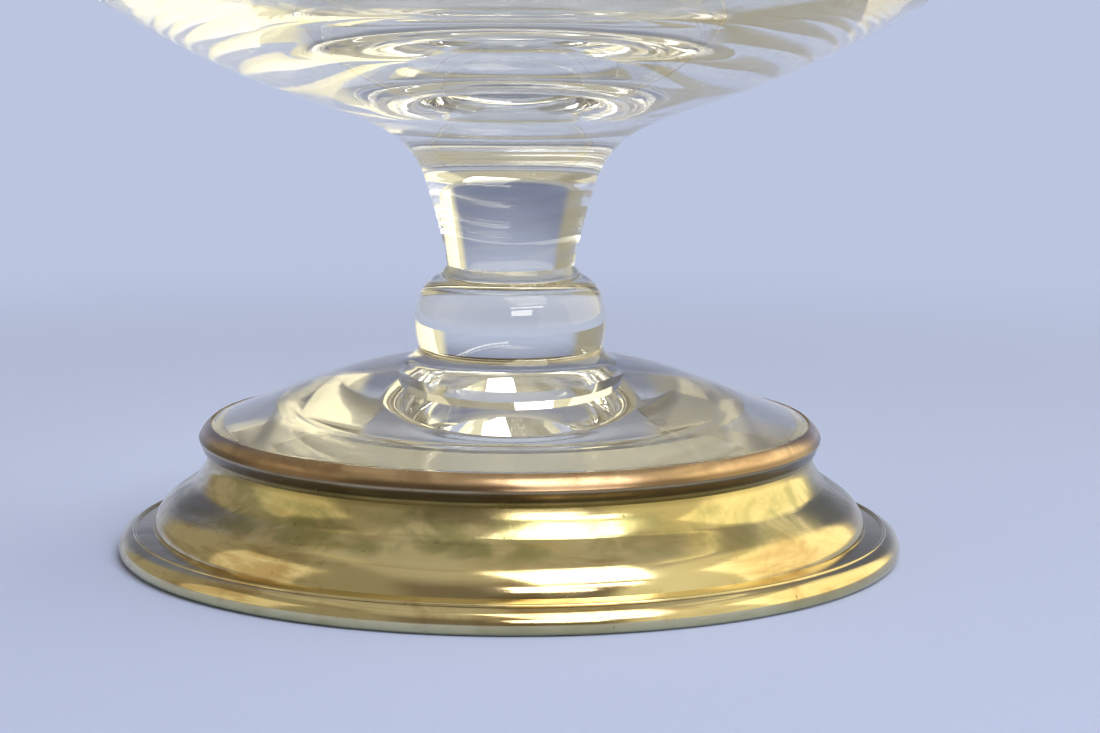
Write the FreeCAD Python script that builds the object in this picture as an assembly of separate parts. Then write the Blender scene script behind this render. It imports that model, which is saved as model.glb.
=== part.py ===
import FreeCAD, Part
import math
import os

# A footed glass compote: a wide shallow bowl on a knopped stem, whose heavy
# glass foot is gripped by a spun metal base. Millimetres, +Z up, the axis of
# the object on Z, and the surface that it stands on at Z = 0.

# Spun metal base, described outwards in from its rolled foot and then upwards
base_radius = 64.3
base_widest_height = 1.3
base_edge_round = 1.4
base_roll_inset = 2.3
base_roll_height = 4.2
contact_width = 2.4
sheet = 0.7
fine_line_width = 0.6
ledge_rise = 0.35
step_inset = 5.6
step_lean = 8.0
swell_inset = 2.8
swell_rise = 4.65
cove_inset = 4.7
cove_rise = 3.2
neck_inset = 1.65
neck_rise = 2.9
flare_projection = 0.85
flare_rise = 2.5
collar_projection = 0.7
collar_rise = 1.5
collar_wall = 1.4
lip_overlap = 0.38
lip_thickness = 0.25

# Glass foot
foot_clearance = 0.12
foot_slope = 20.4
foot_edge_round = 1.8
foot_edge_lift = 0.82
foot_crown_radius = 30.0
foot_crown_rise = 2.8
seat_inset = 3.0
seat_drop = 3.0
seat_slope_width = 10.58
flat_rise = 3.1
hollow_radius = 17.2
hollow_rise = 3.7
hollow_depth = 2.6
hollow_taper = 0.4
hollow_dome = 0.6

# Knop
knop_radius = 15.7
knop_foot_inset = 0.6
knop_foot_height = 34.0
knop_fillet = 3.2
knop_middle_rise = 4.2
knop_shoulder_inset = 0.55
knop_shoulder_rise = 7.6
knop_shoulder_lean = 13.0
knop_top_rise = 11.4
knop_top_projection = 1.85

# Stem
waist_radius = 10.45
waist_rise = 13.4
stem_lean = 10.0
stem_top_radius = 14.3
stem_height = 14.6
stem_flare_width = 6.7
stem_flare_rise = 7.6

# Bowl
bowl_foot_width = 10.0
bowl_foot_rise = 4.1
bowl_low_width = 17.9
bowl_low_rise = 7.0
bowl_middle_width = 17.6
bowl_middle_rise = 9.7
rim_radius = 101.5
bowl_side_height = 35.6
rim_wall = 4.0
middle_wall = 5.1
low_wall = 7.2

# Bedding of the glass in the metal
bedding_clearance = 0.1
bedding_width = 9.0
bedding_drop = 2.4
bedding_hollow = 0.8

# Stations of the metal base: radius and height
contact_edge = (base_radius - base_edge_round, 0)
widest = (base_radius, base_widest_height)
roll_top = (base_radius - base_roll_inset, base_roll_height)
step = (base_radius - step_inset, base_roll_height + ledge_rise)
swell = (step[0] - swell_inset, step[1] + swell_rise)
cove = (swell[0] - cove_inset, swell[1] + cove_rise)
neck = (cove[0] - neck_inset, cove[1] + neck_rise)
flare = (neck[0] + flare_projection, neck[1] + flare_rise)
collar = (flare[0] + collar_projection, flare[1] + collar_rise)

# Stations of the glass foot
fall = math.radians(foot_slope)
edge_radius = collar[0] - collar_wall - foot_clearance
edge_centre = (edge_radius - foot_edge_round, collar[1] + foot_edge_lift)
seat = (edge_radius - seat_inset, edge_centre[1] - seat_drop)
flat_edge = (seat[0] - seat_slope_width, seat[1] + flat_rise)
hollow_edge = (hollow_radius, seat[1] + hollow_rise)
hollow_roof = (hollow_radius - hollow_taper, hollow_edge[1] + hollow_depth)


class Outline:
    """A closed outline in the (radius, height) half plane, drawn edge by edge."""

    def __init__(self, point, heading=0.0):
        self.first = point
        self.point = point
        self.edges = []
        self.turn(heading)

    def turn(self, heading):
        """Leave the last point in a new direction, in degrees above straight outward."""
        angle = math.radians(heading)
        self.direction = (math.cos(angle), math.sin(angle))

    def heading(self):
        return math.degrees(math.atan2(self.direction[1], self.direction[0]))

    def line(self, point):
        step_out = point[0] - self.point[0]
        step_up = point[1] - self.point[1]
        length = math.hypot(step_out, step_up)
        self.edges.append(Part.LineSegment(vector(self.point), vector(point)).toShape())
        self.direction = (step_out / length, step_up / length)
        self.point = point

    def arc(self, middle, point):
        self.edges.append(Part.Arc(vector(self.point), vector(middle), vector(point)).toShape())
        self.point = point

    def bend(self, point):
        """Run on smoothly to the point, along the arc that leaves in the same direction."""
        half = ((point[0] - self.point[0]) / 2, (point[1] - self.point[1]) / 2)
        across = self.direction[1] * half[0] - self.direction[0] * half[1]
        along = self.direction[0] * half[0] + self.direction[1] * half[1]
        turned = math.atan2(across, along)
        sag = math.tan(turned / 2)
        middle = (self.point[0] + half[0] - half[1] * sag, self.point[1] + half[1] + half[0] * sag)
        heading = self.heading()
        self.arc(middle, point)
        self.turn(heading - 2 * math.degrees(turned))

    def revolve(self):
        """Close the outline and turn it once round the axis."""
        self.line(self.first)
        face = Part.Face(Part.Wire(self.edges))
        return face.revolve(FreeCAD.Vector(0, 0, 0), FreeCAD.Vector(0, 0, 1), 360)


def vector(point):
    return FreeCAD.Vector(point[0], 0, point[1])


def beside(point, heading, distance):
    """The point at that distance to the left of a line that passes with that heading."""
    angle = math.radians(heading)
    return (point[0] - math.sin(angle) * distance, point[1] + math.cos(angle) * distance)


def foot_edge_point():
    """Where the rounded edge of the glass foot runs into the cone on top of it."""
    across = math.sin(fall) * foot_edge_round
    up = math.cos(fall) * foot_edge_round
    return (edge_centre[0] + across, edge_centre[1] + up)


def cone_height(radius):
    """Height of the cone on top of the glass foot, outside its crown."""
    edge = foot_edge_point()
    return edge[1] + (edge[0] - radius) * math.tan(fall)


def seat_slope_height(radius):
    """Height of the sloping face under the glass foot, between its flat and its seat."""
    share = (seat[0] - radius) / (seat[0] - flat_edge[0])
    return seat[1] + (flat_edge[1] - seat[1]) * share


def draw_foot(outline):
    """From the roof of the hollow underneath, round the edge and up the cone to the knop."""
    knop_foot_radius = knop_radius - knop_foot_inset
    outline.bend(hollow_roof)
    outline.line(hollow_edge)
    outline.line(flat_edge)
    outline.line(seat)
    outline.turn(0)
    outline.bend((edge_radius, edge_centre[1]))
    outline.turn(90)
    outline.bend(foot_edge_point())
    outline.line((foot_crown_radius, cone_height(foot_crown_radius)))
    outline.bend((knop_foot_radius + knop_fillet, outline.point[1] + foot_crown_rise))
    outline.bend((knop_foot_radius, knop_foot_height))


def draw_stem(outline):
    """The knop with its crisp foot and waist, then the stem that widens into the bowl."""
    foot = outline.point
    shoulder = (knop_radius - knop_shoulder_inset, foot[1] + knop_shoulder_rise)
    waist = (waist_radius, foot[1] + waist_rise)
    outline.arc((knop_radius, foot[1] + knop_middle_rise), shoulder)
    outline.turn(90 + knop_shoulder_lean)
    outline.bend((waist_radius + knop_top_projection, foot[1] + knop_top_rise))
    outline.bend(waist)
    outline.turn(90 - stem_lean)
    outline.bend((stem_top_radius, waist[1] + stem_height))
    outline.bend((stem_top_radius + stem_flare_width, outline.point[1] + stem_flare_rise))


def draw_bowl(outline):
    """The outside of the bowl, its fire-polished rim, and the inside down to the axis."""
    start = outline.point
    foot = (start[0] + bowl_foot_width, start[1] + bowl_foot_rise)
    low = (foot[0] + bowl_low_width, foot[1] + bowl_low_rise)
    middle = (low[0] + bowl_middle_width, low[1] + bowl_middle_rise)
    rim = (rim_radius, middle[1] + bowl_side_height)
    outline.bend(foot)
    outline.bend(low)
    low_inside = beside(low, outline.heading(), low_wall)
    outline.bend(middle)
    middle_inside = beside(middle, outline.heading(), middle_wall)
    outline.bend(rim)
    outline.bend(beside(rim, outline.heading(), rim_wall))
    outline.bend(middle_inside)
    outline.bend(low_inside)
    floor_fall = math.radians(180 - abs(outline.heading()))
    outline.bend((0, low_inside[1] - low_inside[0] * math.tan(floor_fall / 2)))


def glass_compote():
    """Foot, knop, stem and bowl in one piece of glass."""
    outline = Outline((0, hollow_roof[1] + hollow_dome))
    draw_foot(outline)
    draw_stem(outline)
    draw_bowl(outline)
    return outline.revolve()


def follow(outline, stations):
    """Run on smoothly from station to station, and note the heading that each is passed with."""
    passed = [(outline.point, outline.heading())]
    for station in stations:
        outline.bend(station)
        passed.append((station, outline.heading()))
    return passed


def return_inside(outline, passed):
    """Come back past the same stations, from the last to the first, on the sheet's inner face."""
    outline.turn(passed[-1][1] + 180)
    for station, heading in reversed(passed[:-1]):
        outline.bend(beside(station, heading, sheet))


def draw_ledge(outline):
    """The fine raised line on the rolled edge, and the narrow ledge inside it."""
    outline.turn(90)
    outline.bend((roll_top[0] - fine_line_width, roll_top[1]))
    outline.line(step)
    outline.turn(90 + step_lean)


def draw_collar_inside(outline):
    """The lip turned over the edge of the glass, and the inside of the collar round it."""
    reach = foot_edge_round + foot_clearance
    lip_out = foot_edge_round - lip_overlap
    lip_up = math.sqrt(reach ** 2 - lip_out ** 2)
    lip = (edge_centre[0] + lip_out, edge_centre[1] + lip_up)
    outline.bend((lip[0], lip[1] + lip_thickness))
    outline.line(lip)
    outline.turn(-math.degrees(math.atan2(lip_out, lip_up)))
    outline.bend((edge_radius + foot_clearance, edge_centre[1]))


def foot_mount():
    """One spun sheet: rolled foot, ledge, swell, cove, neck and a collar over the glass."""
    start = (contact_edge[0] - contact_width, 0)
    outline = Outline(start)
    outline.line(contact_edge)
    roll = follow(outline, [widest, roll_top])
    draw_ledge(outline)
    wall = follow(outline, [swell, cove, neck, flare])
    outline.bend(collar)
    draw_collar_inside(outline)
    outline.bend(beside(*wall[-1], sheet))
    return_inside(outline, wall)
    outline.line((outline.point[0], step[1] - sheet))
    outline.line(beside(*roll[-1], sheet))
    return_inside(outline, roll)
    outline.line((start[0], sheet))
    return outline.revolve()


def setting_cement():
    """The ring of bedding between the underside of the glass foot and the neck of the base."""
    inner = seat[0] - bedding_width
    outer = neck[0] - sheet - bedding_clearance
    bottom = neck[1] - bedding_drop
    start = (inner, seat_slope_height(inner) - bedding_clearance)
    middle = ((inner + outer) / 2, (start[1] + bottom) / 2 + bedding_hollow)
    outline = Outline(start)
    outline.arc(middle, (outer, bottom))
    outline.line((outer, seat[1]))
    outline.line((seat[0], seat[1] - bedding_clearance))
    return outline.revolve()


def main():
    os.makedirs("parts", exist_ok=True)
    glass_compote().exportStep("parts/glass_compote.step")
    foot_mount().exportStep("parts/foot_mount.step")
    setting_cement().exportStep("parts/setting_cement.step")


main()
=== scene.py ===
import math

import bpy
from mathutils import Matrix, Vector


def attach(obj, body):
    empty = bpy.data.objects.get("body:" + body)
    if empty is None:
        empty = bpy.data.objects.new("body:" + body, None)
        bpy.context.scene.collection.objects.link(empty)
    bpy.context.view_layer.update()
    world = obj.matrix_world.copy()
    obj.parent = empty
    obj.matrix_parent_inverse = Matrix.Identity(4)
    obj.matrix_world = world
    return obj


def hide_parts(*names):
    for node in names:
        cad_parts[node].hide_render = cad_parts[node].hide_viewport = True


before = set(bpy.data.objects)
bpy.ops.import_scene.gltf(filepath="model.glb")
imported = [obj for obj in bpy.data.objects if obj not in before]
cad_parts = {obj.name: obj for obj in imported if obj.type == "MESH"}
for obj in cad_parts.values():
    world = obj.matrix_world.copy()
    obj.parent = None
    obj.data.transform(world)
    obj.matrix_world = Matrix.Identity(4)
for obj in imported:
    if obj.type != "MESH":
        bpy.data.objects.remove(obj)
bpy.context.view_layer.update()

# A footed glass compote in a spun metal base, dressed over its CAD model. The outlines
# below are in millimetres and repeat the solids; everything handed to Blender is in metres.
MM = 0.001

# Spun metal base
base_radius = 64.3
base_widest_height = 1.3
base_edge_round = 1.4
base_roll_inset = 2.3
base_roll_height = 4.2
contact_width = 2.4
sheet = 0.7
fine_line_width = 0.6
ledge_rise = 0.35
step_inset = 5.6
step_lean = 8.0
swell_inset = 2.8
swell_rise = 4.65
cove_inset = 4.7
cove_rise = 3.2
neck_inset = 1.65
neck_rise = 2.9
flare_projection = 0.85
flare_rise = 2.5
collar_projection = 0.7
collar_rise = 1.5
collar_wall = 1.4
lip_overlap = 0.38
lip_thickness = 0.25

# Glass foot
foot_clearance = 0.12
foot_slope = 20.4
foot_edge_round = 1.8
foot_edge_lift = 0.82
foot_crown_radius = 30.0
foot_crown_rise = 2.8
seat_inset = 3.0
seat_drop = 3.0
seat_slope_width = 10.58
flat_rise = 3.1
hollow_radius = 17.2
hollow_rise = 3.7
hollow_depth = 2.6
hollow_taper = 0.4
hollow_dome = 0.6

# Knop
knop_radius = 15.7
knop_foot_inset = 0.6
knop_foot_height = 34.0
knop_fillet = 3.2
knop_middle_rise = 4.2
knop_shoulder_inset = 0.55
knop_shoulder_rise = 7.6
knop_shoulder_lean = 13.0
knop_top_rise = 11.4
knop_top_projection = 1.85

# Stem
waist_radius = 10.45
waist_rise = 13.4
stem_lean = 10.0
stem_top_radius = 14.3
stem_height = 14.6
stem_flare_width = 6.7
stem_flare_rise = 7.6

# Bowl
bowl_foot_width = 10.0
bowl_foot_rise = 4.1
bowl_low_width = 17.9
bowl_low_rise = 7.0
bowl_middle_width = 17.6
bowl_middle_rise = 9.7
rim_radius = 101.5
bowl_side_height = 35.6
rim_wall = 4.0
middle_wall = 5.1
low_wall = 7.2

# Bedding of the glass in the metal: its top wets the glass, so it shows through the foot
bedding_clearance = 0.1
bedding_width = 9.0
bedding_drop = 2.4
bedding_hollow = 0.8
bedding_contact = 0.03
bedding_contact_width = 1.1

# Stations of the metal base: radius and height
contact_edge = (base_radius - base_edge_round, 0)
widest = (base_radius, base_widest_height)
roll_top = (base_radius - base_roll_inset, base_roll_height)
step = (base_radius - step_inset, base_roll_height + ledge_rise)
swell = (step[0] - swell_inset, step[1] + swell_rise)
cove = (swell[0] - cove_inset, swell[1] + cove_rise)
neck = (cove[0] - neck_inset, cove[1] + neck_rise)
flare = (neck[0] + flare_projection, neck[1] + flare_rise)
collar = (flare[0] + collar_projection, flare[1] + collar_rise)

# The finished outside of the cove, where the solid has plain arcs: a crease where it leaves the swell,
# a sharp corner under the collar, and a flatter front to the bead
crease = (52.0, 11.9)
crease_heading = 135.0
cove_middle = (50.3, 14.3)
cove_top = (49.6, 16.4)
under_collar = (50.4, 17.5)
under_collar_heading = 45.0
bead_heading = 109.0

# Stations of the glass foot
fall = math.radians(foot_slope)
edge_radius = collar[0] - collar_wall - foot_clearance
edge_centre = (edge_radius - foot_edge_round, collar[1] + foot_edge_lift)
seat = (edge_radius - seat_inset, edge_centre[1] - seat_drop)
flat_edge = (seat[0] - seat_slope_width, seat[1] + flat_rise)
hollow_edge = (hollow_radius, seat[1] + hollow_rise)
hollow_roof = (hollow_radius - hollow_taper, hollow_edge[1] + hollow_depth)

# Meshes of the turned pieces: points nearer than the gap, in metres, are one, and an edge that turns
# by more than the angle, in degrees, stays sharp
seam_gap = 1e-6
sharp_edge_angle = 28.0


class Outline:
    """An outline in the (radius, height) half plane, walked with the solid on its left."""

    finest_turn = math.radians(3.0)
    nearly_straight = 1e-6

    def __init__(self, point, heading=0.0, spacing=1.3):
        self.points = [point]
        self.spacing = spacing
        self.turn(heading)

    @property
    def point(self):
        return self.points[-1]

    def turn(self, heading):
        """Leave the last point in a new direction, in degrees above straight outward."""
        self.angle = math.radians(heading)

    def heading(self):
        return math.degrees(math.remainder(self.angle, math.tau))

    def line(self, point):
        start = self.point
        self.angle = math.atan2(point[1] - start[1], point[0] - start[0])
        self.bend(point)

    def arc(self, middle, point):
        """Run to the point on the circle that also passes through the middle one."""
        start = self.point
        first = math.atan2(middle[1] - start[1], middle[0] - start[0])
        second = math.atan2(point[1] - middle[1], point[0] - middle[0])
        chord = math.atan2(point[1] - start[1], point[0] - start[0])
        self.angle = chord - math.remainder(second - first, math.tau)
        self.bend(point)

    def bend(self, point):
        """Run on smoothly to the point, along the arc that leaves in the same direction."""
        start = self.point
        chord = math.atan2(point[1] - start[1], point[0] - start[0])
        length = math.dist(start, point)
        half = math.remainder(chord - self.angle, math.tau)
        steps = max(1, math.ceil(2 * abs(half) / self.finest_turn), math.ceil(length / self.spacing))
        for number in range(1, steps + 1):
            share = number / steps
            straight = abs(half) <= self.nearly_straight
            reach = length * (share if straight else math.sin(share * half) / math.sin(half))
            angle = self.angle + share * half
            self.points.append((start[0] + reach * math.cos(angle), start[1] + reach * math.sin(angle)))
        self.points[-1] = point
        self.angle += 2 * half


def beside(point, heading, distance):
    """The point at that distance to the left of a line that passes with that heading."""
    angle = math.radians(heading)
    return (point[0] - math.sin(angle) * distance, point[1] + math.cos(angle) * distance)


def foot_edge_point():
    """Where the rounded edge of the glass foot runs into the cone on top of it."""
    across = math.sin(fall) * foot_edge_round
    up = math.cos(fall) * foot_edge_round
    return (edge_centre[0] + across, edge_centre[1] + up)


def cone_height(radius):
    """Height of the cone on top of the glass foot, outside its crown."""
    edge = foot_edge_point()
    return edge[1] + (edge[0] - radius) * math.tan(fall)


def seat_slope_height(radius):
    """Height of the sloping face under the glass foot, between its flat and its seat."""
    share = (seat[0] - radius) / (seat[0] - flat_edge[0])
    return seat[1] + (flat_edge[1] - seat[1]) * share


def glass_outline():
    """The hollow underneath, the foot, knop and stem, then the bowl and its inside."""
    outline = Outline((0, hollow_roof[1] + hollow_dome))
    knop_foot_radius = knop_radius - knop_foot_inset
    outline.bend(hollow_roof)
    outline.line(hollow_edge)
    outline.line(flat_edge)
    outline.line(seat)
    outline.turn(0)
    outline.bend((edge_radius, edge_centre[1]))
    outline.turn(90)
    outline.bend(foot_edge_point())
    outline.line((foot_crown_radius, cone_height(foot_crown_radius)))
    outline.bend((knop_foot_radius + knop_fillet, outline.point[1] + foot_crown_rise))
    outline.bend((knop_foot_radius, knop_foot_height))
    foot = outline.point
    shoulder = (knop_radius - knop_shoulder_inset, foot[1] + knop_shoulder_rise)
    waist = (waist_radius, foot[1] + waist_rise)
    outline.arc((knop_radius, foot[1] + knop_middle_rise), shoulder)
    outline.turn(90 + knop_shoulder_lean)
    outline.bend((waist_radius + knop_top_projection, foot[1] + knop_top_rise))
    outline.bend(waist)
    outline.turn(90 - stem_lean)
    outline.bend((stem_top_radius, waist[1] + stem_height))
    outline.bend((stem_top_radius + stem_flare_width, outline.point[1] + stem_flare_rise))
    start = outline.point
    bowl_foot = (start[0] + bowl_foot_width, start[1] + bowl_foot_rise)
    low = (bowl_foot[0] + bowl_low_width, bowl_foot[1] + bowl_low_rise)
    middle = (low[0] + bowl_middle_width, low[1] + bowl_middle_rise)
    rim = (rim_radius, middle[1] + bowl_side_height)
    outline.bend(bowl_foot)
    outline.bend(low)
    low_inside = beside(low, outline.heading(), low_wall)
    outline.bend(middle)
    middle_inside = beside(middle, outline.heading(), middle_wall)
    outline.bend(rim)
    outline.bend(beside(rim, outline.heading(), rim_wall))
    outline.bend(middle_inside)
    outline.bend(low_inside)
    floor_fall = math.radians(180 - abs(outline.heading()))
    outline.bend((0, low_inside[1] - low_inside[0] * math.tan(floor_fall / 2)))
    return outline.points


def mount_outline():
    """One spun sheet: rolled foot, ledge, swell, cove, neck and a collar over the glass.

    The inside keeps the solid's arcs; only the outside has the crease and the flatter bead.
    """
    start = (contact_edge[0] - contact_width, 0)
    outline = Outline(start, spacing=0.8)
    outline.line(contact_edge)
    roll = follow(outline, [widest, roll_top])
    outline.turn(90)
    outline.bend((roll_top[0] - fine_line_width, roll_top[1]))
    outline.line(step)
    wall = follow(Outline(step, 90 + step_lean), [swell, cove, neck, flare])
    outline.turn(90 + step_lean)
    outline.bend(swell)
    outline.bend(crease)
    outline.turn(crease_heading)
    outline.bend(cove_middle)
    outline.bend(cove_top)
    outline.turn(under_collar_heading)
    outline.bend(under_collar)
    outline.bend(collar)
    outline.turn(bead_heading)
    reach = foot_edge_round + foot_clearance
    lip_out = foot_edge_round - lip_overlap
    lip_up = math.sqrt(reach ** 2 - lip_out ** 2)
    lip = (edge_centre[0] + lip_out, edge_centre[1] + lip_up)
    outline.bend((lip[0], lip[1] + lip_thickness))
    outline.line(lip)
    outline.turn(-math.degrees(math.atan2(lip_out, lip_up)))
    outline.bend((edge_radius + foot_clearance, edge_centre[1]))
    outline.bend(beside(*wall[-1], sheet))
    return_inside(outline, wall)
    outline.line((outline.point[0], step[1] - sheet))
    outline.line(beside(*roll[-1], sheet))
    return_inside(outline, roll)
    outline.line((start[0], sheet))
    outline.line(start)
    return outline.points


def follow(outline, stations):
    """Run on smoothly from station to station, and note the heading that each is passed with."""
    passed = [(outline.point, outline.heading())]
    for station in stations:
        outline.bend(station)
        passed.append((station, outline.heading()))
    return passed


def return_inside(outline, passed):
    """Come back past the same stations, from the last to the first, on the sheet's inner face."""
    outline.turn(passed[-1][1] + 180)
    for station, heading in reversed(passed[:-1]):
        outline.bend(beside(station, heading, sheet))


def cement_outline():
    """The ring of bedding, whose outer part presses against the underside of the glass foot."""
    inner = seat[0] - bedding_width
    outer = neck[0] - sheet - bedding_clearance
    bottom = neck[1] - bedding_drop
    dry = seat[0] - bedding_contact_width
    start = (inner, seat_slope_height(inner) - bedding_clearance)
    outline = Outline(start, spacing=1.0)
    outline.arc(((inner + outer) / 2, (start[1] + bottom) / 2 + bedding_hollow), (outer, bottom))
    outline.line((outer, seat[1]))
    outline.line((seat[0], seat[1] + bedding_contact))
    outline.line((dry, seat_slope_height(dry) + bedding_contact))
    outline.line((dry, seat_slope_height(dry) - bedding_clearance))
    outline.line(start)
    return outline.points


class Value:
    """An output in a node tree; an expression on values adds its Math nodes."""

    def __init__(self, maker, socket):
        self.maker = maker
        self.socket = socket

    def math(self, operation, *others):
        return self.maker.math(operation, self, *others)

    def __add__(self, other):
        return self.math("ADD", other)

    __radd__ = __add__

    def __mul__(self, other):
        return self.math("MULTIPLY", other)

    __rmul__ = __mul__

    def __sub__(self, other):
        return self.math("SUBTRACT", other)

    def __rsub__(self, other):
        return self.maker.math("SUBTRACT", other, self)

    def __truediv__(self, other):
        return self.math("DIVIDE", other)

    def __rtruediv__(self, other):
        return self.maker.math("DIVIDE", other, self)


class NodeMaker:
    """Adds nodes to a shader or geometry tree."""

    def __init__(self, tree):
        self.tree = tree

    def node(self, kind, settings=None, inputs=None):
        """A new node: its settings are made first, then its sockets are set or linked."""
        made = self.tree.nodes.new(kind)
        for name, value in (settings or {}).items():
            setattr(made, name, value)
        for name, value in (inputs or {}).items():
            socket = self.pick(made.inputs, name)
            if isinstance(value, Value):
                self.tree.links.new(value.socket, socket)
            else:
                socket.default_value = value
        return made

    def out(self, kind, settings=None, inputs=None, output=None):
        """The same, for a node of which one output is wanted."""
        made = self.node(kind, settings, inputs)
        return self.read(made, output)

    def read(self, made, output=None):
        """One output of a node: the first that it shows, or the one of that name."""
        shown = [socket for socket in made.outputs if socket.enabled]
        return Value(self, shown[0] if output is None else self.pick(made.outputs, output))

    def pick(self, sockets, name):
        """A socket by its number, or by its name among those that the node shows."""
        if isinstance(name, int):
            return sockets[name]
        return next(socket for socket in sockets if socket.enabled and socket.name == name)

    def math(self, operation, *numbers):
        return self.out("ShaderNodeMath", {"operation": operation}, dict(enumerate(numbers)))

    def between(self, value, low, high, bottom=0.0, top=1.0):
        """Rises smoothly from bottom to top while the value goes from low to high."""
        return self.out("ShaderNodeMapRange", {"interpolation_type": "SMOOTHSTEP"},
                        {"Value": value, "From Min": low, "From Max": high, "To Min": bottom, "To Max": top})

    def band(self, value, low, high, soft):
        """One between low and high, falling to nothing over the soft distance outside them."""
        return self.between(value, low - soft, low) * (1 - self.between(value, high, high + soft))

    def mix(self, factor, first, second):
        """One colour into another."""
        return self.out("ShaderNodeMix", {"data_type": "RGBA"},
                        {"Factor": factor, "A": first, "B": second}, "Result")

    def stretch(self, place, across, up):
        """A place on the surface, scaled by one number level and by another upright."""
        return self.out("ShaderNodeVectorMath", {"operation": "MULTIPLY"},
                        {0: place, 1: (across, across, up)})

    def noise(self, place, size, detail=2.0, rough=0.5, warp=0.0):
        """Even noise from 0 to 1 whose blotches are that many metres across."""
        return self.out("ShaderNodeTexNoise", {}, {"Vector": place, "Scale": 1 / size, "Detail": detail,
                                                   "Roughness": rough, "Distortion": warp})


def colour(red, green, blue):
    """A colour as a screen shows it, 0 to 255, as the linear values that shaders take."""
    def linear(part):
        part = part / 255
        return part / 12.92 if part <= 0.04045 else ((part + 0.055) / 1.055) ** 2.4
    return (linear(red), linear(green), linear(blue), 1.0)


def turned_piece_tree():
    """Geometry nodes that turn an outline, given as a chain of points, once round the axis."""
    tree = bpy.data.node_groups.new("turned piece", "GeometryNodeTree")
    for name, kind in (("Outline", "Geometry"), ("Segments", "Int"), ("Waviness", "Float"),
                       ("Wave Length", "Float"), ("Crease Angle", "Float"), ("Finish", "Material")):
        tree.interface.new_socket(name=name, in_out="INPUT", socket_type="NodeSocket" + kind)
    tree.interface.new_socket(name="Piece", in_out="OUTPUT", socket_type="NodeSocketGeometry")
    make = NodeMaker(tree)
    given = make.node("NodeGroupInput")
    outline = make.read(given, "Outline")
    segments = make.read(given, "Segments")
    count = make.out("GeometryNodeAttributeDomainSize", {"component": "MESH"},
                     {"Geometry": outline}, "Point Count")
    columns = segments + 1
    grid = make.out("GeometryNodeMeshGrid", {}, {"Size X": 1.0, "Size Y": 1.0,
                                                 "Vertices X": count, "Vertices Y": columns}, "Mesh")
    index = make.out("GeometryNodeInputIndex")
    row = (index / columns).math("FLOOR")
    turn = (index - row * columns) / segments * -math.tau
    position = make.out("GeometryNodeInputPosition")
    place = make.out("GeometryNodeSampleIndex", {"data_type": "FLOAT_VECTOR"},
                     {"Geometry": outline, "Value": position, "Index": row}, "Value")
    run = make.out("GeometryNodeInputNamedAttribute", {"data_type": "FLOAT"}, {"Name": "along"}, "Attribute")
    along = make.out("GeometryNodeSampleIndex", {"data_type": "FLOAT"},
                     {"Geometry": outline, "Value": run, "Index": row}, "Value")
    parts = make.node("ShaderNodeSeparateXYZ", {}, {"Vector": place})
    radius = make.read(parts, "X")
    spun = make.out("ShaderNodeCombineXYZ", {}, {
        "X": radius * turn.math("COSINE"), "Y": radius * turn.math("SINE"), "Z": make.read(parts, "Z")})
    geometry = make.out("GeometryNodeStoreNamedAttribute", {"data_type": "FLOAT", "domain": "POINT"},
                        {"Geometry": grid, "Name": "along", "Value": along})
    geometry = make.out("GeometryNodeSetPosition", {}, {"Geometry": geometry, "Position": spun})
    geometry = make.out("GeometryNodeMergeByDistance", {}, {"Geometry": geometry, "Distance": seam_gap})
    waves = 1 / make.read(given, "Wave Length")
    swell_and_dip = make.out("ShaderNodeTexNoise", {}, {"Scale": waves, "Detail": 1.0})
    shift = (swell_and_dip - 0.5) * 2 * make.read(given, "Waviness")
    offset = make.out("ShaderNodeVectorMath", {"operation": "SCALE"},
                      {"Vector": make.out("GeometryNodeInputNormal"), "Scale": shift})
    geometry = make.out("GeometryNodeSetPosition", {}, {"Geometry": geometry, "Offset": offset})
    geometry = make.out("GeometryNodeSetShadeSmooth", {"domain": "FACE"},
                        {"Geometry": geometry, "Shade Smooth": True})
    angle = make.out("GeometryNodeInputMeshEdgeAngle", {}, {}, "Unsigned Angle")
    sharp = make.out("FunctionNodeCompare", {"data_type": "FLOAT", "operation": "GREATER_THAN"},
                     {"A": angle, "B": make.read(given, "Crease Angle")})
    geometry = make.out("GeometryNodeSetShadeSmooth", {"domain": "EDGE"},
                        {"Geometry": geometry, "Selection": sharp, "Shade Smooth": False})
    geometry = make.out("GeometryNodeRealizeInstances", {}, {"Geometry": geometry})
    geometry = make.out("GeometryNodeSetMaterial", {},
                        {"Geometry": geometry, "Material": make.read(given, "Finish")})
    make.node("NodeGroupOutput", {}, {"Piece": geometry})
    return tree


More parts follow.
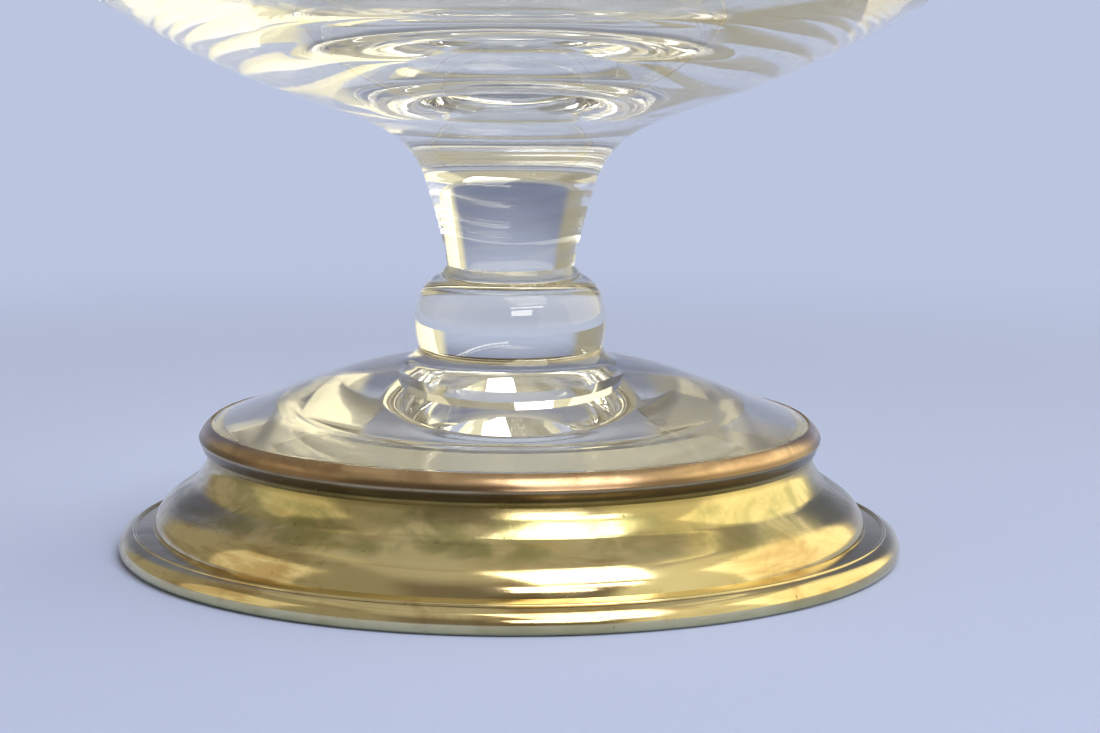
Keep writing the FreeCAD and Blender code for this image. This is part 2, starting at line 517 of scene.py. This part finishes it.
def turned_piece(tree, name, points, finish, segments, waviness, wave_length):
    """A plain mesh of one turned piece, from its outline in millimetres."""
    chain = bpy.data.meshes.new(name)
    chain.from_pydata([(radius * MM, 0, height * MM) for radius, height in points],
                      [(number, number + 1) for number in range(len(points) - 1)], [])
    run = chain.attributes.new("along", "FLOAT", "POINT")
    travelled = 0.0
    for number, point in enumerate(points):
        travelled += math.dist(point, points[number - 1]) * MM if number else 0.0
        run.data[number].value = travelled
    piece = bpy.data.objects.new(name, chain)
    bpy.context.scene.collection.objects.link(piece)
    modifier = piece.modifiers.new("turn", "NODES")
    modifier.node_group = tree
    sizes = {"Segments": segments, "Waviness": waviness * MM, "Wave Length": wave_length * MM,
             "Crease Angle": math.radians(sharp_edge_angle), "Finish": finish}
    for item in tree.interface.items_tree:
        if item.in_out == "INPUT" and item.name in sizes:
            modifier[item.identifier] = sizes[item.name]
    graph = bpy.context.evaluated_depsgraph_get()
    solid = bpy.data.meshes.new_from_object(piece.evaluated_get(graph), preserve_all_data_layers=True,
                                            depsgraph=graph)
    piece.modifiers.clear()
    piece.data = solid
    bpy.data.meshes.remove(chain)
    solid.name = name
    return piece


def new_finish(name):
    """A material with an empty node tree, and the maker that fills it."""
    material = bpy.data.materials.new(name)
    material.use_nodes = True
    material.node_tree.nodes.clear()
    return material, NodeMaker(material.node_tree)


class Spot:
    """A point of the surface: its place in metres, and how far it lies each way in millimetres."""

    def __init__(self, make):
        self.place = make.out("ShaderNodeTexCoord", {}, {}, "Object")
        parts = make.node("ShaderNodeSeparateXYZ", {}, {"Vector": self.place})
        across, deep, up = (make.read(parts, axis) for axis in "XYZ")
        self.radius = (across * across + deep * deep).math("SQRT") / MM
        self.across, self.deep, self.height = across / MM, deep / MM, up / MM


# Where the glass is dusty and scratched, and where the stem has whitish streaks, part smear and part painted
# reflection,
# in mm: seen from above, the scratch on its foot is part of a circle
dust_edge = (16.5, 20.0)
dusty_heights = (edge_centre[1] + 1.2, 33.0)
smear_and_reflection_heights = (36.0, 76.0)
scratch_centre = (19.7, -39.5)
scratch_radii = (9.89, 9.99)
scratch_ends = (22.0, 29.5)
scratch_fade = (-24.0, -27.0)
mark_strength = 0.22
thinnest_dust = 0.004
thickest_dust = 0.3


def clear_glass():
    """Thick clear glass with a cream tint: dust, motes and a scratch on the foot, whitish streaks on the
    stem, part smear and part painted reflection.
    """
    material, make = new_finish("clear_glass")
    spot = Spot(make)
    on_foot = make.between(spot.radius, *dust_edge) * make.band(spot.height, *dusty_heights, soft=0.8)
    cloud = make.noise(spot.place, size=0.021, detail=2.0, rough=0.6)
    specks = make.noise(spot.place, size=0.0016, detail=1.0)
    specks = make.between(specks, 0.3, 0.75, bottom=0.55)
    film = on_foot * (0.035 + 0.10 * make.between(cloud, 0.36, 0.72) * specks)
    # Painted reflection along with smear: whitish streaks across the stem stand in for reflected light
    streaks = make.noise(make.stretch(spot.place, across=1.0, up=7.0), size=0.011, detail=2.0, rough=0.7)
    smear_and_painted_reflection = make.between(streaks, 0.54, 0.72) * make.band(spot.height, *smear_and_reflection_heights, soft=4.0) * 0.05
    away, forward = spot.across - scratch_centre[0], spot.deep - scratch_centre[1]
    off_centre = (away * away + forward * forward).math("SQRT")
    scratch = make.band(off_centre, *scratch_radii, soft=0.25)
    scratch = scratch * make.band(spot.across, *scratch_ends, soft=1.5)
    scratch = scratch * on_foot * make.between(spot.deep, *scratch_fade)
    motes = make.noise(spot.place, size=0.0008, detail=1.0)
    motes = make.between(motes, 0.70, 0.75) * make.between(cloud, 0.45, 0.62) * on_foot
    marks = film + smear_and_painted_reflection + mark_strength * scratch + mark_strength * motes
    dust = make.math("MINIMUM", marks + thinnest_dust, thickest_dust)
    ripple = make.noise(spot.place, size=0.030, detail=0.0)
    bump = make.out("ShaderNodeBump", {}, {"Strength": 1.0, "Distance": 0.00008, "Height": ripple})
    glass = make.out("ShaderNodeBsdfPrincipled", {}, {
        "Base Color": (0.985, 0.975, 0.905, 1), "Roughness": 0.006 + 0.05 * film, "IOR": 1.52,
        "Transmission Weight": 1.0, "Normal": bump})
    powder = make.out("ShaderNodeBsdfPrincipled", {}, {
        "Base Color": colour(214, 208, 196), "Roughness": 0.95, "Specular IOR Level": 0.2})
    shown = make.out("ShaderNodeMixShader", {}, {"Fac": dust, 1: glass, 2: powder})
    in_shadow = make.out("ShaderNodeLightPath", {}, {}, "Is Shadow Ray")
    through = make.out("ShaderNodeBsdfTransparent", {}, {"Color": (0.93, 0.93, 0.91, 1)})
    shaded = make.out("ShaderNodeMixShader", {}, {"Fac": in_shadow, 1: shown, 2: through})
    make.node("ShaderNodeOutputMaterial", {}, {"Surface": shaded})
    return material


# Colours of the plating, of what has worn it or settled on it, and of the painted shade under and on the bead
pale_gold = colour(229, 215, 174)
deep_gold = colour(206, 188, 138)
brown_stain = colour(172, 142, 94)
wiped_brown = colour(168, 136, 88)
olive_stain = colour(146, 148, 102)
dull_tarnish = colour(160, 148, 100)
# Dark brown of grime and of painted shade under the bead
grime_and_bead_shade = colour(84, 70, 50)
light_copper = colour(208, 178, 150)
dark_copper = colour(158, 126, 102)
# Darker brown painted as shade on the bead's lower face
bead_underside_shade = colour(112, 88, 72)
greenish_edge = colour(176, 182, 138)
darker_inside_tone = colour(120, 100, 62)
pit_brown = colour(92, 78, 50)

# Heights on the metal between which its wear and its painted shade change, and the radius of its inner face
olive_heights = (10.4, 14.6)
tarnished_heights = (16.3, 18.2)
grime_and_shade_heights = (17.5, 18.7)
bead_heights = (18.7, 19.4)
bead_shade_heights = (20.5, 19.7)
greenish_height = 2.4
inside_radius = 47.9

spun_lines_per_metre = 2600.0


def gilt_metal():
    """Worn gold plating on spun metal: bright on the swell, tarnished in the cove, coppery on the bead, with
    painted shade under the bead and on its lower face.
    """
    material, make = new_finish("gilt_metal")
    spot = Spot(make)
    along = make.out("ShaderNodeAttribute", {"attribute_name": "along"}, {}, "Fac")
    drift = make.noise(spot.place, size=0.034, detail=3.0, rough=0.55, warp=0.6)
    cloud = make.noise(spot.place, size=0.012, detail=4.0, rough=0.6, warp=0.8)
    fine = make.noise(spot.place, size=0.0022, detail=3.0, rough=0.6)
    wiped = make.stretch(spot.place, across=1.0, up=6.0)
    wiped = make.noise(wiped, size=0.026, detail=4.0, rough=0.62, warp=0.5)
    uneven_height = spot.height + (drift - 0.5) * 3.2
    gold = make.mix(make.between(drift, 0.35, 0.68), pale_gold, deep_gold)
    gold = make.mix(make.between(cloud, 0.5, 0.74) * 0.55, gold, brown_stain)
    gold = make.mix(make.between(wiped, 0.50, 0.66) * 0.6, gold, wiped_brown)
    olive = make.band(uneven_height, *olive_heights, soft=2.0) * make.between(cloud, 0.38, 0.62)
    gold = make.mix(olive * 0.7, gold, olive_stain)
    tarnish = make.band(spot.height, *tarnished_heights, soft=1.0) * make.between(cloud, 0.2, 0.6, bottom=0.6)
    gold = make.mix(tarnish * 0.8, gold, dull_tarnish)
    # Painted shade mixed with grime: a dark band just under the bead, where the bead overhangs the cove
    grime_and_shade = make.band(spot.height, *grime_and_shade_heights, soft=0.4) * make.between(cloud, 0.15, 0.5, bottom=0.7)
    gold = make.mix(grime_and_shade * 0.9, gold, grime_and_bead_shade)
    bead = make.between(spot.height, *bead_heights)
    copper = make.mix(make.between(cloud, 0.3, 0.7), light_copper, dark_copper)
    # Painted shade: the lower face of the bead turns a darker brown
    copper = make.mix(make.between(spot.height, *bead_shade_heights), copper, bead_underside_shade)
    gold = make.mix(bead * 0.9, gold, copper)
    lowest = make.between(greenish_height - spot.height, 0.0, 1.6)
    gold = make.mix(lowest * 0.5, gold, greenish_edge)
    # The inner face of the sheet is a darker tone
    inside = make.between(inside_radius - spot.radius, 0.0, 0.3)
    gold = make.mix(inside * 0.6, gold, darker_inside_tone)
    pits = make.noise(spot.place, size=0.0011, detail=2.0, rough=0.5)
    pits = make.between(pits, 0.66, 0.74) * make.between(cloud, 0.45, 0.7)
    gold = make.mix(pits * 0.6, gold, pit_brown)
    rough = 0.11 + 0.09 * make.between(cloud, 0.35, 0.75) + 0.08 * tarnish
    rough = rough + 0.08 * fine * olive + 0.25 * pits + 0.1 * bead
    spun = make.noise(make.stretch(spot.place, across=14.0, up=900.0), size=1.0, detail=3.0, rough=0.7)
    lines = make.out("ShaderNodeTexNoise", {"noise_dimensions": "1D"},
                     {"W": along, "Scale": spun_lines_per_metre, "Detail": 2.0})
    relief = spun * 0.5 + lines * 0.5 + 0.6 * fine - 1.5 * pits
    bump = make.out("ShaderNodeBump", {}, {"Strength": 0.35, "Distance": 0.00002, "Height": relief})
    metal = make.out("ShaderNodeBsdfPrincipled", {}, {
        "Base Color": gold, "Metallic": 1.0, "Roughness": rough, "Normal": bump})
    make.node("ShaderNodeOutputMaterial", {}, {"Surface": metal})
    return material


def bedding_plaster():
    """Off-white bedding, chalky and unevenly spread, and greyer where it lies thin against the glass."""
    material, make = new_finish("bedding_plaster")
    spot = Spot(make)
    cloud = make.noise(spot.place, size=0.006, detail=4.0, rough=0.6, warp=0.4)
    grain = make.noise(spot.place, size=0.0009, detail=3.0, rough=0.6)
    tint = make.mix(make.between(cloud, 0.35, 0.7), colour(214, 210, 192), colour(188, 184, 164))
    tint = make.mix(make.between(grain, 0.58, 0.72) * 0.5, tint, colour(160, 154, 134))
    thin = make.between(seat[0] - 0.1 + (cloud - 0.5) * 1.2 - spot.radius, 0.0, bedding_contact_width)
    tint = make.mix(thin * 0.85, tint, colour(158, 158, 158))
    bump = make.out("ShaderNodeBump", {}, {"Strength": 0.5, "Distance": 0.0002, "Height": grain + cloud})
    chalk = make.out("ShaderNodeBsdfPrincipled", {}, {"Base Color": tint, "Roughness": 0.92, "Normal": bump})
    make.node("ShaderNodeOutputMaterial", {}, {"Surface": chalk})
    return material


# The floor's sheet: its radius in metres, its corners, and the radii in mm over which its tone turns even
floor_reach = 7.0
floor_corners = 64
even_from, even_to = 160, 420


def pale_floor():
    """A plain seamless sheet of pale blue-grey, which takes the shadow and stays even far away."""
    material, make = new_finish("pale_floor")
    paper = make.out("ShaderNodeBsdfPrincipled", {}, {
        "Base Color": colour(178, 191, 238), "Roughness": 0.9, "Specular IOR Level": 0.1})
    even = make.out("ShaderNodeEmission", {}, {"Color": colour(187, 197, 224), "Strength": 1.0})
    rays = make.node("ShaderNodeLightPath")
    seen = make.read(rays, "Is Camera Ray") + make.read(rays, "Is Glossy Ray")
    seen = (seen + make.read(rays, "Is Transmission Ray")).math("MINIMUM", 1.0)
    far = make.between(Spot(make).radius, even_from, even_to)
    shown = make.out("ShaderNodeMixShader", {}, {"Fac": far * seen, 1: paper, 2: even})
    make.node("ShaderNodeOutputMaterial", {}, {"Surface": shown})
    return material


def lay_floor():
    """A wide level sheet that the object stands on."""
    turns = [corner * math.tau / floor_corners for corner in range(floor_corners)]
    rim = [(floor_reach * math.cos(turn), floor_reach * math.sin(turn), 0) for turn in turns]
    sheet_mesh = bpy.data.meshes.new("floor")
    sheet_mesh.from_pydata(rim, [], [list(range(floor_corners))])
    sheet_mesh.materials.append(pale_floor())
    floor = bpy.data.objects.new("floor", sheet_mesh)
    bpy.context.scene.collection.objects.link(floor)


def light_room():
    """A plain studio: a pale sweep behind, a dim front, a warm ceiling, and cream walls, dim on the left."""
    world = bpy.data.worlds.new("room")
    bpy.context.scene.world = world
    world.use_nodes = True
    world.node_tree.nodes.clear()
    make = NodeMaker(world.node_tree)
    facing = make.out("ShaderNodeTexCoord", {}, {}, "Generated")
    parts = make.node("ShaderNodeSeparateXYZ", {}, {"Vector": facing})
    right, behind, up = (make.read(parts, axis) for axis in "XYZ")
    sweep_low, sweep_high, dim_front = colour(180, 190, 219), colour(112, 120, 148), colour(124, 115, 100)
    ceiling, right_wall, left_wall = colour(186, 180, 160), colour(244, 236, 198), colour(158, 152, 130)
    sweep = make.mix(make.between(up, 0.0, 0.30), sweep_low, sweep_high)
    tint = make.mix(make.between(behind, -0.5, 0.3), dim_front, sweep)
    tint = make.mix(make.between(up, 0.4, 0.85), tint, ceiling)
    tint = make.mix(make.between(right, 0.49, 0.60), tint, right_wall)
    tint = make.mix(make.between(0 - right, 0.46, 0.60), tint, left_wall)
    sky = make.out("ShaderNodeBackground", {}, {"Color": tint, "Strength": 1.0})
    make.node("ShaderNodeOutputWorld", {}, {"Surface": sky})


def hang_panel(name, place, aim, size, brightness, tint):
    """A soft rectangular lamp, facing the point that it aims at, out of the camera's sight."""
    lamp = bpy.data.lights.new(name, "AREA")
    lamp.shape = "RECTANGLE"
    lamp.size, lamp.size_y = size
    lamp.energy = brightness * math.pi * size[0] * size[1]
    lamp.color = tint[:3]
    panel = bpy.data.objects.new(name, lamp)
    panel.location = place
    panel.rotation_euler = (Vector(aim) - Vector(place)).to_track_quat("-Z", "Y").to_euler()
    panel.visible_camera = False
    bpy.context.scene.collection.objects.link(panel)


def hang_lamps():
    """The window in front, a cream screen on each side, and two long strips high behind the camera."""
    stem, bowl = (0, 0, 0.05), (0, 0, 0.1)
    daylight, strip_white, cream = colour(255, 252, 240), colour(255, 252, 244), colour(255, 242, 200)
    hang_panel("front_window", (0.315, -0.546, 0.95), stem, (0.70, 0.78), 3.8, daylight)
    hang_panel("right_screen", (0.68, 0.22, 0.32), bowl, (0.95, 0.6), 0.9, cream)
    hang_panel("left_screen", (-0.85, -0.05, 0.32), bowl, (0.6, 0.6), 0.5, cream)
    hang_panel("high_strip", (0.60, -1.50, 0.94), stem, (1.3, 0.16), 10.0, strip_white)
    hang_panel("low_strip", (0.40, -1.57, 0.66), stem, (0.75, 0.11), 10.0, strip_white)


def aim_camera():
    """The photograph's own view, worked out from the ellipses of the base: lengths in pixels and in mm."""
    focal_length, image_width = 3203, 1100
    place = (3.6, -521.1, 109.7)
    pitch, roll, yaw = math.radians(8.65), math.radians(-0.33), math.radians(0.32)
    forward = Vector((math.sin(yaw) * math.cos(pitch), math.cos(yaw) * math.cos(pitch), -math.sin(pitch)))
    right = Vector((math.cos(yaw), -math.sin(yaw), 0))
    up = right.cross(forward)
    tilted_right = right * math.cos(roll) - up * math.sin(roll)
    tilted_up = right * math.sin(roll) + up * math.cos(roll)
    lens = bpy.data.cameras.new("camera")
    lens.sensor_width = 36
    lens.lens = focal_length / image_width * lens.sensor_width
    lens.clip_start, lens.clip_end = 0.02, 60
    camera = bpy.data.objects.new("camera", lens)
    turned = Matrix((tilted_right, tilted_up, -forward)).transposed().to_4x4()
    camera.matrix_world = Matrix.Translation([part * MM for part in place]) @ turned
    bpy.context.scene.collection.objects.link(camera)
    bpy.context.scene.camera = camera


def dress_object():
    """A finely turned and finished piece in place of each CAD node."""
    tree = turned_piece_tree()
    pieces = [
        ("glass_compote", "blown_glass", glass_outline(), clear_glass(), 224, 0.035, 26.0, "clear_glass"),
        ("foot_mount", "spun_base", mount_outline(), gilt_metal(), 288, 0.02, 14.0, "base_metal"),
        ("setting_cement", "bedding_ring", cement_outline(), bedding_plaster(), 192, 0.0, 8.0, "cement"),
    ]
    for node, name, points, finish, segments, waviness, wave_length, slot in pieces:
        piece = turned_piece(tree, name, points, finish, segments, waviness, wave_length)
        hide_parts(node)
        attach(piece, "root")


aim_camera()
light_room()
lay_floor()
hang_lamps()
dress_object()

# Light is turned back many times inside the thick glass, so it may bounce often
most_bounces = 40
scene = bpy.context.scene
scene.view_settings.view_transform = "Standard"
scene.cycles.max_bounces = most_bounces
scene.cycles.transmission_bounces = most_bounces
scene.cycles.glossy_bounces = most_bounces
scene.cycles.transparent_max_bounces = 16
